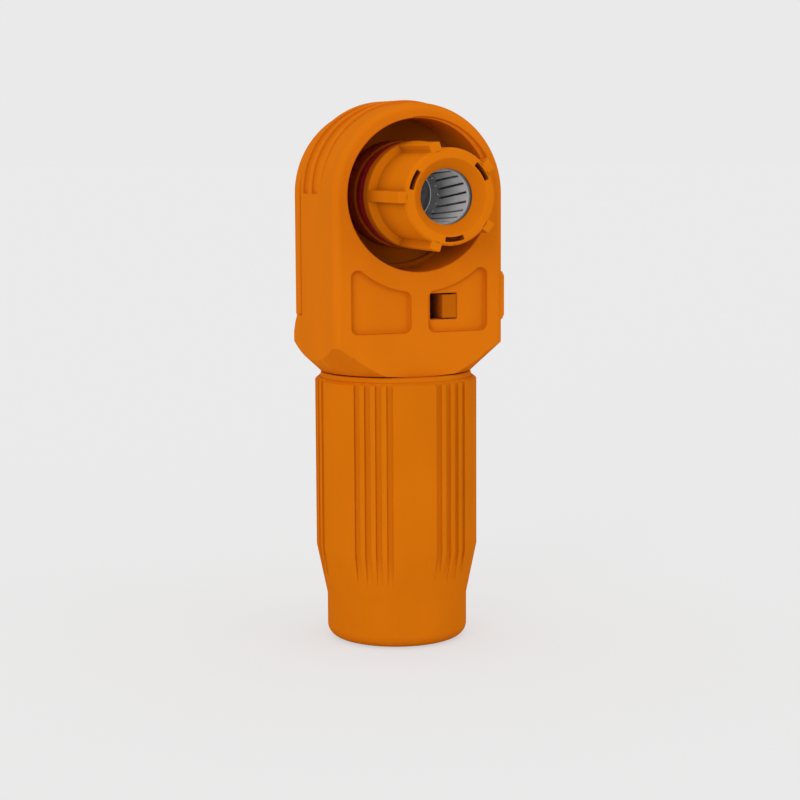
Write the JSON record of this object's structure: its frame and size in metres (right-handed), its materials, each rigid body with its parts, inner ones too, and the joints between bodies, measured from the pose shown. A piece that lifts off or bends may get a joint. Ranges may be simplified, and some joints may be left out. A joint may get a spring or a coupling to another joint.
{
  "type": "right-angle high voltage plug",
  "caption": "Right-angle orange power plug with a turning contact barrel in a round shroud, an arched release slider and a ribbed tail nut.",
  "frame": {"origin": "centre of the cable opening at the end face of the tail nut, on the stem axis", "axes": "+Z along the stem from the tail to the head, -Y the mating direction of the contact barrel"},
  "size_m": [0.0289, 0.036, 0.0865],
  "materials": {
    "shell_plastic": "fine satin moulding texture",
    "nut_plastic": "fine satin moulding texture",
    "barrel_plastic": "smooth satin",
    "inner_plastic": "satin",
    "red_silicone": "smooth satin",
    "black_rubber": "satin",
    "silver_plate": "silver plated, satin",
    "louvre_metal": "silver plated, brushed",
    "spring_steel": "brushed",
    "white_acetal": "satin",
    "black_plastic": "satin"
  },
  "bodies": {
    "shell": {"housing": "shell_plastic", "base_plate": "inner_plastic", "slider_spring_left": "spring_steel", "slider_spring_right": "spring_steel", "rear_cap": "shell_plastic", "lug_retainer": "inner_plastic", "contact_socket": "silver_plate", "crown_spring": "louvre_metal", "crown_ring": "silver_plate", "contact_lug": "silver_plate", "contact_screw": "spring_steel", "spring_washer": "spring_steel", "cable_seal": "red_silicone", "seal_washer": "white_acetal", "clamp_claw": "black_plastic", "neck_ring": "black_rubber"},
    "slider": {"release_slider": "shell_plastic", "latch_plate": "inner_plastic"},
    "barrel": {"contact_carrier": "barrel_plastic", "interface_seal": "red_silicone", "carrier_ring": "red_silicone", "carrier_clip": "spring_steel"},
    "thrust_ring": {"slip_ring": "white_acetal"},
    "nut": {"tail_nut": "nut_plastic"}
  },
  "joints": [
    {"name": "release_slide", "type": "slide", "parent": "shell", "child": "slider", "axis": [0, 0, -1], "range_m": [0, 0.0015], "stiffness_N_per_m": 2000, "springref_m": -0.002, "deforming": ["slider_spring_left", "slider_spring_right"]},
    {"name": "barrel_spin", "type": "hinge", "parent": "shell", "child": "barrel", "pos_m": [0, 0, 0.0718], "axis": [0, -1, 0], "continuous": true},
    {"name": "nut_travel", "type": "slide", "parent": "shell", "child": "thrust_ring", "axis": [0, 0, -1], "range_m": [0, 0.012]},
    {"name": "nut_turn", "type": "hinge", "parent": "thrust_ring", "child": "nut", "pos_m": [0, 0, 0], "axis": [0, 0, -1], "range_deg": [0, 2880]}
  ],
  "couplings": [
    {"joint": "nut_travel", "follows": "nut_turn", "m_per_rad": 0.0002387}
  ]
}
